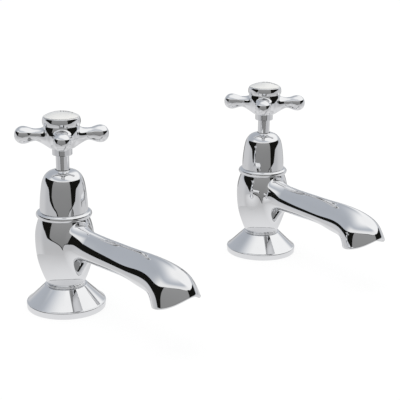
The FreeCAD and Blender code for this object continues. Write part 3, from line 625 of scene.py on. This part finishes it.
def grained_material(name, base, contrast, grain, roughness, bump, metallic=0.0, rings=0.0, coat=0.0):
    """A mottled finish: two tones of a colour, a fine bump and, on turned metal, lathe rings."""
    material, tree, surface = shader(name)
    if tree is None:
        return material
    surface.inputs["Metallic"].default_value = metallic
    surface.inputs["Roughness"].default_value = roughness
    surface.inputs["Coat Weight"].default_value = coat
    surface.inputs["Coat Roughness"].default_value = 0.04
    mottle = put_group(tree, mottle_group(), Grain_size=grain,
                       Dark=(*[c * (1 - contrast) for c in base], 1),
                       Light=(*[min(1, c * (1 + contrast)) for c in base], 1))
    tree.links.new(mottle.outputs["Colour"], surface.inputs["Base Color"])
    height = mottle.outputs["Height"]
    if rings:
        height = put_group(tree, lathe_group(), Rings=rings).outputs["Height"]
    relief = add_node(tree, "ShaderNodeBump", {"Height": height, "Distance": bump, "Strength": 1.0})
    tree.links.new(relief.outputs["Normal"], surface.inputs["Normal"])
    return material


def slot_material(slot, finishes):
    """The finish of one of the record's material slots."""
    if slot == "chrome":
        return chrome_material(finishes)
    finish = {
        # name, colour, contrast, grain, roughness, bump, metallic, rings, coat
        "brass": ("turned_brass", finishes.brass, 0.12, 120.0, 0.26, 0.00002, 1.0, 700.0),
        "rubber": ("moulded_rubber", finishes.rubber, 0.4, 900.0, 0.62, 0.00006),
        "fibre": ("pressed_fibre", finishes.fibre, 0.45, 1500.0, 0.75, 0.0001),
        "packing": ("greased_packing", finishes.packing, 0.3, 1100.0, 0.55, 0.0002),
        "bush_plastic": ("moulded_plastic", finishes.plastic, 0.05, 500.0, 0.4, 0.00002),
        "steel": ("bright_steel", finishes.steel, 0.1, 400.0, 0.24, 0.00001, 1.0, 1500.0),
        "ceramic": ("glazed_ceramic", finishes.ceramic, 0.025, 260.0, 0.12, 0.000004, 0.0, 0.0, 1.0),
    }
    return grained_material(*finish[slot])


# Operators


def arm_turn(tap, shapes):
    """Turn of a tap's arms, which its lettering follows."""
    return shapes.hot_turn if tap == "hot" else shapes.cold_turn


def node_slots():
    """Material slot of each CAD node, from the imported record."""
    return {row["node"]: row["material_slot"] for row in frame["record"]["subparts"]}


class TAPS_OT_cad_finishes(bpy.types.Operator):
    """Give every CAD node the finish of its slot"""

    bl_idname = "taps.cad_finishes"
    bl_label = "CAD finishes"

    def execute(self, context):
        slots = node_slots()
        for name, node in frame["nodes"].items():
            node.data.materials.clear()
            node.data.materials.append(slot_material(slots[name], context.scene.tap_finishes))
        return {"FINISHED"}


class TAPS_OT_bodies(bpy.types.Operator):
    """Add the vase bodies with their swept spouts"""

    bl_idname = "taps.bodies"
    bl_label = "Bodies"

    def execute(self, context):
        shapes, chrome = context.scene.tap_shapes, chrome_material(context.scene.tap_finishes)
        toe = {"hot": shapes.spout_toe, "cold": -shapes.spout_toe}
        for tap in TAPS:
            x, ahead = axis_x(tap), toe[tap] - math.pi / 2
            body = joined(f"{tap}_vase_and_spout", (set_on_tap(vase_grid(), ahead, x), True),
                          (set_on_tap(spout_grid(shapes), ahead, x), True))
            dress(body, chrome, "fixed", "chrome", f"{tap}_spout_body")
        return {"FINISHED"}


class TAPS_OT_covers(bpy.types.Operator):
    """Add the turned flanges, collar rings and bell covers"""

    bl_idname = "taps.covers"
    bl_label = "Flanges, collars and bells"

    def execute(self, context):
        chrome = chrome_material(context.scene.tap_finishes)
        outlines = {
            "base_flange": flange_outline(), "collar_ring": collar_outline(), "bell_cover": bell_outline()}
        for tap in TAPS:
            for title, outline in outlines.items():
                piece = turned(f"{tap}_{title}_turned", outline, axis_x(tap))
                dress(piece, chrome, "fixed", "chrome", f"{tap}_{title}")
        return {"FINISHED"}


class TAPS_OT_handles(bpy.types.Operator):
    """Add the cross handles"""

    bl_idname = "taps.handles"
    bl_label = "Cross handles"

    def execute(self, context):
        shapes, chrome = context.scene.tap_shapes, chrome_material(context.scene.tap_finishes)
        for tap in TAPS:
            x, turn = axis_x(tap), arm_turn(tap, shapes)
            arms = [(set_on_tap(arm_grid(shapes), turn + k * math.pi / 2, x), False) for k in range(4)]
            cross = joined(f"{tap}_cross", (set_on_tap(hub_grid(), turn, x), True), *arms)
            dress(cross, chrome, f"{tap}_handle", "chrome", f"{tap}_cross_handle")
        return {"FINISHED"}


def lettering(word, name, shapes, turn, x):
    """A word laid on the index disc along an arm: the letters' outline filled and set just above the dome."""
    capital_share, clear_of_dome = 0.7, 0.02 * MM
    data = bpy.data.curves.new(name, "FONT")
    data.body = word
    data.size = shapes.letter_height / capital_share
    data.align_x = "CENTER"
    data.align_y = "CENTER"
    data.resolution_u = 6
    source = bpy.data.objects.new(name, data)
    bpy.context.scene.collection.objects.link(source)
    mesh = bpy.data.meshes.new_from_object(source.evaluated_get(bpy.context.evaluated_depsgraph_get()))
    bpy.data.objects.remove(source)
    shape = bmesh.new()
    shape.from_mesh(mesh)
    bmesh.ops.triangulate(shape, faces=shape.faces)
    bmesh.ops.subdivide_edges(shape, edges=shape.edges, cuts=2, use_grid_fill=True)
    bmesh.ops.triangulate(shape, faces=shape.faces)
    shape.to_mesh(mesh)
    shape.free()
    flat = np.empty(len(mesh.vertices) * 3)
    mesh.vertices.foreach_get("co", flat)
    flat = flat.reshape(-1, 3)
    flat[:, 0] += shapes.letter_shift
    flat[:, 2] = dome_height(np.hypot(flat[:, 0], flat[:, 1])) + clear_of_dome
    mesh.vertices.foreach_set("co", set_on_tap(flat, turn, x).ravel())
    mesh.update()
    mesh.name = name
    word_piece = bpy.data.objects.new(name, mesh)
    bpy.context.scene.collection.objects.link(word_piece)
    return word_piece


class TAPS_OT_indices(bpy.types.Operator):
    """Add the chrome caps, the domed discs and their lettering"""

    bl_idname = "taps.indices"
    bl_label = "Indices"

    def execute(self, context):
        shapes, finishes = context.scene.tap_shapes, context.scene.tap_finishes
        ink = grained_material("fired_ink", finishes.lettering, 0.3, 900.0, 0.7, 0.000002)
        for tap in TAPS:
            x, body = axis_x(tap), f"{tap}_handle"
            cap = turned(f"{tap}_index_cap", cap_outline(), x)
            dress(cap, chrome_material(finishes), body, "chrome", f"{tap}_index_rim")
            disc = turned(f"{tap}_index_dome", disc_outline(), x)
            dress(disc, slot_material("ceramic", finishes), body, "ceramic", f"{tap}_index_disc")
            word = lettering(tap.upper(), f"{tap}_lettering", shapes, arm_turn(tap, shapes), x)
            dress(word, ink, body, "ceramic")
        return {"FINISHED"}


class TAPS_OT_tails(bpy.types.Operator):
    """Add the threaded tails and their hexagonal backnuts"""

    bl_idname = "taps.tails"
    bl_label = "Tails and backnuts"

    def execute(self, context):
        shapes, brass = context.scene.tap_shapes, slot_material("brass", context.scene.tap_finishes)
        for tap in TAPS:
            x = axis_x(tap)
            tail = joined(f"{tap}_tail_thread", (set_on_tap(thread_grid(shapes), 0, x), True))
            dress(tail, brass, "fixed", "brass", f"{tap}_threaded_tail")
            nut = joined(f"{tap}_hexagon_nut", (set_on_tap(nut_grid(), 0, x), True))
            dress(nut, brass, "fixed", "brass", f"{tap}_backnut")
        return {"FINISHED"}


def camera_axes(stage):
    """Right, up and forward of the camera from its turn, pitch and roll."""
    a, p, roll = stage.camera_azimuth, stage.camera_pitch, stage.camera_roll
    right = np.array([math.cos(a), math.sin(a), 0])
    ahead = np.array([-math.sin(a), math.cos(a), 0])
    forward = math.cos(p) * ahead - math.sin(p) * np.array([0, 0, 1])
    up = math.sin(p) * ahead + math.cos(p) * np.array([0, 0, 1])
    turned_right = math.cos(roll) * right + math.sin(roll) * up
    turned_up = math.cos(roll) * up - math.sin(roll) * right
    return turned_right, turned_up, forward


def add_camera(scene, stage):
    """The camera at its place, turned to its axes."""
    right, up, forward = camera_axes(stage)
    data = bpy.data.cameras.new("camera")
    data.lens = stage.camera_lens
    data.sensor_width = SENSOR_WIDTH
    camera = bpy.data.objects.new("camera", data)
    scene.collection.objects.link(camera)
    matrix = np.eye(4)
    matrix[:3, :3] = np.stack([right, up, -forward], 1)
    matrix[:3, 3] = stage.camera_place
    camera.matrix_world = Matrix(matrix.tolist())
    scene.camera = camera


def glow_material():
    """Light of a panel as its points' own tint."""
    material = bpy.data.materials.get("panel_glow")
    if material is not None:
        return material
    material = bpy.data.materials.new("panel_glow")
    material.use_nodes = True
    tree = material.node_tree
    tree.nodes.clear()
    tint = add_node(tree, "ShaderNodeAttribute", attribute_name="tint")
    glow = add_node(tree, "ShaderNodeEmission", {"Color": tint.outputs["Color"], "Strength": 1.0})
    out = add_node(tree, "ShaderNodeOutputMaterial")
    tree.links.new(glow.outputs["Emission"], out.inputs["Surface"])
    return material


def lit_panel(name, points, faces, tint):
    """A glowing surface of the stage that is seen only in the metal."""
    mesh = bpy.data.meshes.new(name)
    mesh.from_pydata(points.reshape(-1, 3).tolist(), [], faces.tolist())
    mesh.color_attributes.new("tint", "FLOAT_COLOR", "POINT").data.foreach_set("color", tint.ravel())
    mesh.materials.append(glow_material())
    panel = bpy.data.objects.new(name, mesh)
    bpy.context.scene.collection.objects.link(panel)
    panel.visible_camera = False
    panel.visible_diffuse = False
    panel.visible_shadow = False


def studio_panel(name, stage, azimuths, low, high, shade, distance=1.0, across=129, upward=65):
    """A panel of the studio, seen only in the metal: a patch of a sphere round the taps.
    Its points lie at azimuth a and elevation e, which runs from low(a) to high(a). Azimuth 0 is the camera's
    side, and shade(a, e) gives the points' tint."""
    a = np.linspace(*azimuths, across)[None, :]
    v = np.linspace(0, 1, upward)[:, None]
    e = low(a) + (high(a) - low(a)) * v
    a = a + 0 * e
    tint = np.ones((*e.shape, 4))
    tint[..., :3] = shade(a, e)
    a, e = np.radians(a)[..., None], np.radians(e)[..., None]
    right, _, _ = camera_axes(stage)
    right = np.array([right[0], right[1], 0]) / math.hypot(right[0], right[1])
    towards = np.array([right[1], -right[0], 0])
    points = np.cos(e) * (np.cos(a) * towards + np.sin(a) * right) + np.sin(e) * np.array([0, 0, 1])
    points = points * stage.panel_radius * distance
    first = np.arange(upward - 1)[:, None] * across + np.arange(across - 1)
    faces = np.stack([first, first + 1, first + across + 1, first + across], -1).reshape(-1, 4)
    lit_panel(name, points, faces, tint)


def level(value):
    """The same elevation at every azimuth."""
    return lambda a: value + 0 * a


def panel_edge(places, middle=0):
    """An elevation that changes evenly between places, each an azimuth to either side of a middle and an
    elevation."""
    azimuths, elevations = zip(*places)
    return lambda a: np.interp(np.abs(a - middle), azimuths, elevations)


def steps(at, *stops):
    """Tints that change evenly between stops of elevation: each stop is an elevation and a tint."""
    places = [stop[0] for stop in stops]
    tints = np.array([stop[1] for stop in stops], float)
    return np.stack([np.interp(at, places, tints[:, c]) for c in range(3)], -1)


def ease(at, low, high):
    """A smooth step from 0 at low to 1 at high."""
    u = np.clip((at - low) / (high - low), 0, 1)
    return (u * u * (3 - 2 * u))[..., None]


# Edges of the studio's panels in degrees: each place is an azimuth and an elevation
CARD_LOW = panel_edge(
    ((0, -22), (15, -14.5), (26, -11), (31, -9), (40, -7.1), (49, -3.9), (60, 1.5)), 2)
FLAG_LOW = panel_edge(
    ((0, -22.6), (15, -15.5), (27, -12), (34, -10), (45, -8), (62, -4.5), (75, 4), (95, 9), (116, 12),
     (124, 17)))
FLAG_HIGH = panel_edge(((0, 37), (50, 36), (80, 31), (110, 23), (124, 17)))


def add_panels(stage):
    """The studio in the metal: a shell from pale ground to a soft light overhead, a grey card before a black
    flag on the camera's side and a low grey card behind the taps."""
    ceiling, ground = np.array(stage.overhead_tint), np.array(stage.ground_tint)
    side, white = np.array(stage.side_tint), np.array((1.0, 1.0, 1.0))
    grey, black = np.array(stage.front_grey), np.array(stage.flag_black)

    def shell(a, e):
        front = steps(e, (-90, ground), (-60, ground), (-36, 0.8 * ground), (-20, 0.66 * ground), (-8, side),
                      (20, side), (34, 0.9 * white), (41, 0.88 * white), (48, 0.95 * ceiling), (90, ceiling))
        back = steps(e, (-90, ground), (-36, 0.95 * ground), (-14, 0.8 * ground), (4, 1.2 * side),
                     (16, 0.9 * ceiling), (40, 0.85 * ceiling), (90, 1.1 * ceiling))
        behind, overhead = ease(np.abs(a), 74, 104), ease(e, 46, 76)
        lean = 2.2 * np.clip(e - 30, 0, 40)
        softbox = ease(a + lean, 66, 95) * (1 - ease(a, 160, 182)) * ease(e, 12, 26)
        tint = front + (back - front) * behind
        tint = tint + (white - tint) * softbox
        return tint + (0.98 * white - tint) * overhead

    def card(a, e):
        return steps(e, (-21, 0.85 * grey), (36, 1.15 * grey))

    def flag(a, e):
        return black + 0 * e[..., None]

    def back_card(a, e):
        return grey + 0 * e[..., None]

    studio_panel("shell", stage, (-180, 180), level(-90), level(90), shell,
                 distance=1.2, across=241, upward=181)
    studio_panel("front_card", stage, (-52, 42), CARD_LOW, level(36), card, distance=0.9)
    studio_panel("flag", stage, (-124, 124), FLAG_LOW, FLAG_HIGH, flag, across=249)
    studio_panel("back_card", stage, (152, 208), level(-11), level(1), back_card)


def add_ground(stage):
    """The ground by each tap in the metal: a disc just under the floor that hides the deck's underside."""
    rings, around, under_floor = 40, 96, 0.2 * MM
    bright, dim = (30 * MM, 1.0), (100 * MM, 0.72)  # radius and share of the tint there
    r = np.linspace(0.2 * MM, dim[0], rings)[:, None]
    tint = np.ones((rings, around, 4))
    tint[..., :3] = np.interp(r, *zip(bright, dim))[..., None] * np.array(stage.ground_tint)
    for tap in TAPS:
        points = round_points(r, circle(around), 0 * r - under_floor) + np.array([axis_x(tap), 0, 0])
        lit_panel(f"{tap}_ground", points, grid_faces(rings, around, False), tint)


def add_world(scene, stage):
    """White to the camera and in the metal; a little less as the light from all round."""
    world = bpy.data.worlds.new("studio")
    world.use_nodes = True
    scene.world = world
    tree = world.node_tree
    tree.nodes.clear()
    path = add_node(tree, "ShaderNodeLightPath")
    seen = add_node(tree, "ShaderNodeMath", {
        0: path.outputs["Is Camera Ray"], 1: path.outputs["Is Glossy Ray"]}, operation="MAXIMUM")
    shown = add_node(tree, "ShaderNodeMath", {
        0: seen.outputs[0], 1: path.outputs["Is Transmission Ray"]}, operation="MAXIMUM")
    strength = add_node(tree, "ShaderNodeMapRange", {
        "Value": shown.outputs[0], "To Min": stage.ambient, "To Max": 1.0})
    sky = add_node(tree, "ShaderNodeBackground", {
        "Color": (1, 1, 1, 1), "Strength": strength.outputs["Result"]})
    out = add_node(tree, "ShaderNodeOutputWorld")
    tree.links.new(sky.outputs["Background"], out.inputs["Surface"])


def add_floor(stage):
    """A round pale floor at the deck's level, in rings that spread outwards."""
    rings, around = 9, 64
    r = stage.floor_radius * np.linspace(0, 1, rings)[:, None] ** 2
    floor = new_piece("floor", round_points(r, circle(around), 0 * r), grid_faces(rings, around, False))
    material = bpy.data.materials.new("floor_white")
    material.use_nodes = True
    tree = material.node_tree
    tree.nodes.clear()
    path = add_node(tree, "ShaderNodeLightPath")
    matt = add_node(tree, "ShaderNodeBsdfDiffuse", {"Color": (*stage.floor_colour, 1)})
    glow = add_node(tree, "ShaderNodeEmission", {"Color": (1, 1, 1, 1), "Strength": stage.floor_white})
    share_seen = add_node(tree, "ShaderNodeMath", {
        0: path.outputs["Is Camera Ray"], 1: stage.floor_glow}, operation="MULTIPLY")
    both = add_node(tree, "ShaderNodeMixShader", {
        0: share_seen.outputs[0], 1: matt.outputs[0], 2: glow.outputs[0]})
    out = add_node(tree, "ShaderNodeOutputMaterial")
    tree.links.new(both.outputs[0], out.inputs["Surface"])
    floor.data.materials.append(material)
    floor.visible_glossy = False


def add_lamp(scene, stage):
    """One large soft lamp above and to the left of the camera."""
    data = bpy.data.lights.new("soft_lamp", "AREA")
    data.shape = "DISK"
    data.size = stage.lamp_size
    data.energy = stage.lamp_power
    lamp = bpy.data.objects.new("soft_lamp", data)
    scene.collection.objects.link(lamp)
    lamp.location = stage.lamp_place
    lamp.rotation_euler = (stage.lamp_pitch, stage.lamp_lean, 0)
    lamp.visible_glossy = False


class TAPS_OT_stage(bpy.types.Operator):
    """Set the floor, the soft light, the studio's panels and the camera"""

    bl_idname = "taps.stage"
    bl_label = "Stage"

    def execute(self, context):
        scene, stage = context.scene, context.scene.tap_stage
        scene.view_settings.view_transform = "Standard"
        add_world(scene, stage)
        add_floor(stage)
        add_lamp(scene, stage)
        add_camera(scene, stage)
        add_panels(stage)
        add_ground(stage)
        return {"FINISHED"}


class TAPS_PT_sidebar(bpy.types.Panel):
    """The taps' pieces and stage"""

    bl_label = "Bath Taps"
    bl_idname = "TAPS_PT_sidebar"
    bl_space_type = "VIEW_3D"
    bl_region_type = "UI"
    bl_category = "Bath Taps"

    def draw(self, context):
        for operator in OPERATORS:
            self.layout.operator(operator.bl_idname)
        for group in (context.scene.tap_finishes, context.scene.tap_shapes, context.scene.tap_stage):
            box = self.layout.box()
            for name in group.__annotations__:
                box.prop(group, name)


OPERATORS = (TAPS_OT_cad_finishes, TAPS_OT_bodies, TAPS_OT_covers, TAPS_OT_handles, TAPS_OT_indices,
             TAPS_OT_tails, TAPS_OT_stage)
GROUPS = {"tap_finishes": TapFinishes, "tap_shapes": TapShapes, "tap_stage": TapStage}


def register():
    for item in (*GROUPS.values(), *OPERATORS, TAPS_PT_sidebar):
        bpy.utils.register_class(item)
    for name, group in GROUPS.items():
        setattr(bpy.types.Scene, name, bpy.props.PointerProperty(type=group))


def unregister():
    for name in GROUPS:
        delattr(bpy.types.Scene, name)
    for item in (TAPS_PT_sidebar, *reversed(OPERATORS), *reversed(GROUPS.values())):
        bpy.utils.unregister_class(item)


def main():
    register()
    bpy.ops.taps.cad_finishes()
    bpy.ops.taps.bodies()
    bpy.ops.taps.covers()
    bpy.ops.taps.handles()
    bpy.ops.taps.indices()
    bpy.ops.taps.tails()
    bpy.ops.taps.stage()


if __name__ == "__main__":
    main()
